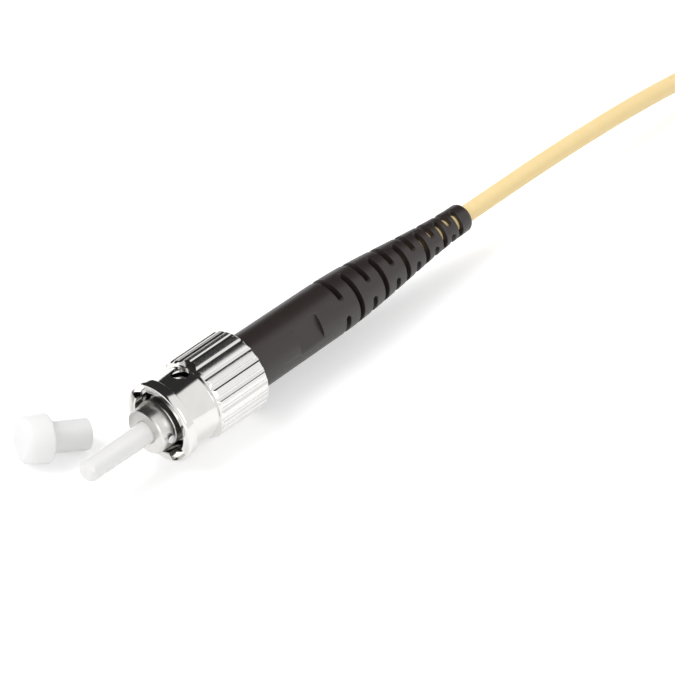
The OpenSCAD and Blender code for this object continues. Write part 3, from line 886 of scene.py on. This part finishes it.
class FIBRE_OT_boot(bpy.types.Operator):
    """Mould the bend-relief boot"""
    bl_idname = "fibre.boot"
    bl_label = "Boot"

    PLAIN, SETBACK = 12.8, 13.8
    FIRST, LAST = 2.2, 1.25
    TAIL_R, BORE = 1.62, 1.08
    LABEL = (6.5, 3.5, 1.6, 148.5)

    def radius(self, x):
        big = BOOT_TOP
        back = x - BOOT_FRONT
        front = big - 0.09 * max(0.0, min(1.0, back / self.PLAIN))
        t = max(0.0, min(1.0, (back - self.PLAIN) / (BOOT_END - BOOT_FRONT - self.PLAIN)))
        return front + (self.TAIL_R - front) * t * t * (3 - 2 * t)

    def station(self, i, count):
        drop = (self.FIRST - self.LAST) / (count - 2)
        return BOOT_FRONT + self.SETBACK + i * self.FIRST - drop * i * (i - 1) / 2

    def execute(self, context):
        settings = context.scene.fibre_boot
        count = settings.reliefs
        half = settings.relief_width / MM / 2
        edge = settings.edge / MM
        middles = [self.station(i, count) for i in range(count)]
        first = self.LABEL[3] - 162
        ends = [first + 36 * k for k in (0, 4, 5, 9)] + [first + 90 + 36 * k for k in (0, 4, 5, 9)]
        marks = {round(first + 3 * k, 3) for k in range(120)}
        for end in ends:
            for off in (-1.6, -0.7, 0.35, 0.9, 1.7):
                marks.add(round((end + off - first) % 360 + first, 3))
        angles = sorted(marks)
        # rows along the boot: (x, drop of the outside there, station and offset of a slot's edge)
        rows = [(BOOT_FRONT, 0.2, None), (BOOT_FRONT + 0.03, 0.09, None),
                (BOOT_FRONT + 0.1, 0.02, None), (BOOT_FRONT + 0.22, 0, None)]
        flat0 = BOOT_FRONT + self.LABEL[0]
        flat1 = flat0 + self.LABEL[1]
        rows += [(x, 0, None) for x in (
            BOOT_FRONT + 3, flat0, flat0 + 0.04, flat0 + 0.1, flat0 + 1.2, flat0 + 2.4, flat1 - 0.1,
            flat1 - 0.04, flat1, flat1 + 1, flat1 + 2, BOOT_FRONT + self.PLAIN)]
        offsets = (0.04 + edge, edge, edge * 0.5, edge * 0.13, 0)
        for i, s in enumerate(middles):
            rows += [(s - half - o, 0, (i, -o)) for o in offsets]
            rows += [(s + half + o, 0, (i, o + 1e-9)) for o in reversed(offsets)]
            if i < count - 1:
                a, b = s + half + edge + 0.04, middles[i + 1] - half - edge - 0.04
                rows += [(a + (b - a) * f, 0, None) for f in ((0.33, 0.67) if b - a > 0.5 else (0.5,))]
        rows += [(BOOT_END - 0.45, 0, None), (BOOT_END - 0.3, 0.06, None), (BOOT_END - 0.18, 0.13, None),
                 (BOOT_END - 0.08, 0.24, None), (BOOT_END - 0.02, 0.36, None), (BOOT_END, 0.46, None)]
        wide, label = self.LABEL[2], self.LABEL[3]
        chord = math.sqrt(self.radius(flat0) ** 2 - wide ** 2)

        def along(i, angle):
            """Arc in degrees from the nearest end of a slot of station i, more than 0 within it."""
            turn = (angle - first - (0 if i % 2 == 0 else 90)) % 180
            return min(turn, 144 - turn) if turn < 162 else turn - 180

        def clearance(x, angle):
            """Distance over the skin from the nearest slot's rim; less than 0 within a slot."""
            best = 9.0
            for i, s in enumerate(middles):
                if abs(x - s) > 0.8:
                    continue
                r = self.radius(s)
                inset = math.radians(along(i, angle)) * r
                if inset < half:
                    best = min(best, math.hypot(half - inset, x - s) - half)
                else:
                    best = min(best, abs(x - s) - half)
            return best

        def shifted(row, angle):
            """A row's place at an angle: the rows beside a slot close up round its ends."""
            x, _, mark = row
            if mark is None:
                return x
            i, offset = mark
            s = middles[i]
            inset = math.radians(along(i, angle)) * self.radius(s)
            if inset >= half:
                return x
            reach = half + abs(offset)
            at_end = math.sqrt(max(0.0, reach ** 2 - half ** 2))
            if inset >= 0:
                width = math.sqrt(max(0.0, reach ** 2 - (half - inset) ** 2))
            else:
                t = min(1.0, -inset / half)
                width = at_end + (reach - at_end) * t
            return s + math.copysign(width, x - s)

        def inner(x):
            cavity = BOOT_FRONT + 8.95
            t = max(0.0, min(1.0, (x - cavity) / 1.8))
            return 2.14 + (self.BORE - 2.14) * t

        verts, faces, deep = [], [], len(rows)
        for side in (0, 1):
            for row in rows:
                for angle in angles:
                    x = shifted(row, angle)
                    if side:
                        verts.append(point_round(x, inner(x), angle))
                        continue
                    r = self.radius(x) - row[1]
                    if flat0 + 0.02 < row[0] < flat1 - 0.02:
                        off = math.cos(math.radians(angle - label))
                        if off > 0.2:
                            r = min(r, chord / off)
                    if row[0] > BOOT_FRONT + self.SETBACK - 1:
                        gap = max(0.0, clearance(x, angle))
                        if gap < edge:
                            r -= edge - math.sqrt(edge ** 2 - (edge - gap) ** 2)
                    verts.append(point_round(x, r, angle))
        columns = len(angles)

        def spot(side, i, k):
            return (side * deep + i) * columns + k % columns

        def open_at(i, k):
            """Whether the cell at row i and column k lies in a slot."""
            k %= columns
            mark, after = rows[i][2], rows[min(i + 1, deep - 1)][2]
            if mark is None or after is None or mark[1] != 0 or after[1] != 1e-9:
                return False
            ahead = angles[k + 1] if k + 1 < columns else angles[0] + 360
            return along(mark[0], (angles[k] + ahead) / 2) > 0

        for i in range(deep - 1):
            for k in range(columns):
                a, b, c, d = (i, k), (i, k + 1), (i + 1, k + 1), (i + 1, k)
                if open_at(i, k):
                    walls = [(a, b), (d, c)]
                    if not open_at(i, k - 1):
                        walls.append((a, d))
                    if not open_at(i, k + 1):
                        walls.append((b, c))
                    faces += [(spot(0, *p), spot(0, *q), spot(1, *q), spot(1, *p)) for p, q in walls]
                else:
                    faces.append(tuple(spot(0, *p) for p in (a, b, c, d)))
                    faces.append(tuple(spot(1, *p) for p in (a, d, c, b)))
        for k in range(columns):
            for i in (0, deep - 1):
                faces.append((spot(0, i, k), spot(0, i, k + 1), spot(1, i, k + 1), spot(1, i, k)))
        mesh = mesh_of("boot_moulded", verts, faces, FINISH["boot"], 50, weld=True)
        finished(linked("boot_moulded", mesh), "connector", "boot_rubber", "boot")
        return {"FINISHED"}


class FIBRE_OT_cap(bpy.types.Operator):
    """Mould the dust cap that lies beside the ferrule"""
    bl_idname = "fibre.cap"
    bl_label = "Dust cap"

    def execute(self, context):
        grip_r, grip, tube_r, total, bore = 2.7, 3.1, 1.7, 7.6, 1.27
        profile = rounded([
            (0, 0), (0, grip_r - 0.75), (0.12, grip_r - 0.42), (0.45, grip_r - 0.17),
            (grip - 0.2, grip_r), (grip, grip_r - 0.22), (grip, tube_r), (total, tube_r),
            (total, bore + 0.2), (total - 0.15, bore), (1.4, bore), (1.4, 0),
        ], {1: 0.3, 2: 0.3, 3: 0.35, 4: 0.15, 5: 0.12, 6: 0.08, 7: 0.14, 8: 0.06, 9: 0.06, 10: 0.1}, 5)
        verts, faces = turned(profile, 96, closed=False)
        edge = grip - 0.2
        lean = math.asin((grip_r - tube_r) / math.hypot(total - edge, grip_r - tube_r))
        z = TABLE + grip_r * math.cos(lean) + edge * math.sin(lean)
        place = (Matrix.Translation((-0.2, 9.6, z)) @ Matrix.Rotation(math.radians(-23.5), 4, "Z")
                 @ Matrix.Rotation(lean, 4, "Y"))
        mesh = mesh_of("cap_moulded", verts, faces, FINISH["cap"], place=place)
        finished(linked("cap_moulded", mesh), "connector", "cap_plastic", "dust_cap")
        return {"FINISHED"}


class FIBRE_OT_inner(bpy.types.Operator):
    """Give the CAD pieces that stay their finishes"""
    bl_idname = "fibre.inner"
    bl_label = "Inner pieces"

    FINISHES = {
        "optical_fibre": "fibre", "backbone": "nut", "thrust_washer": "steel",
        "retaining_clip": "dark steel", "buffer_tube": "tube", "crimp_sleeve": "brass",
        "aramid_yarns": "aramid", "tight_buffer": "buffer", "cable_jacket": "jacket",
        "aramid_tuft": "aramid", "buffer_tail": "buffer", "fibre_tail": "fibre",
    }

    def execute(self, context):
        for node, finish in self.FINISHES.items():
            mesh = NODES[node].data
            mesh.materials.clear()
            mesh.materials.append(FINISH[finish])
        return {"FINISHED"}


class FIBRE_PT_panel(bpy.types.Panel):
    bl_idname = "FIBRE_PT_panel"
    bl_label = "Bayonet Fibre Connector"
    bl_space_type = "VIEW_3D"
    bl_region_type = "UI"
    bl_category = "Fibre"

    def draw(self, context):
        for operator in OPERATORS:
            self.layout.operator(operator.bl_idname)
        for name in SETTINGS:
            box = self.layout.box()
            group = getattr(context.scene, name)
            for key in group.__annotations__:
                box.prop(group, key)


OPERATORS = (FIBRE_OT_stage, FIBRE_OT_lead, FIBRE_OT_ferrule, FIBRE_OT_barrel, FIBRE_OT_spring,
             FIBRE_OT_nut, FIBRE_OT_boot, FIBRE_OT_cap, FIBRE_OT_inner)
SETTINGS = {"fibre_stage": StageSettings, "fibre_lead": LeadSettings, "fibre_nut": NutSettings,
            "fibre_boot": BootSettings}


def register():
    for group in SETTINGS.values():
        bpy.utils.register_class(group)
    for name, group in SETTINGS.items():
        setattr(bpy.types.Scene, name, bpy.props.PointerProperty(type=group))
    for operator in OPERATORS:
        bpy.utils.register_class(operator)
    bpy.utils.register_class(FIBRE_PT_panel)


def unregister():
    bpy.utils.unregister_class(FIBRE_PT_panel)
    for operator in reversed(OPERATORS):
        bpy.utils.unregister_class(operator)
    for name, group in SETTINGS.items():
        delattr(bpy.types.Scene, name)
        bpy.utils.unregister_class(group)


def main():
    register()
    for operator in OPERATORS:
        group, name = operator.bl_idname.split(".")
        getattr(getattr(bpy.ops, group), name)()


if __name__ == "__main__":
    main()
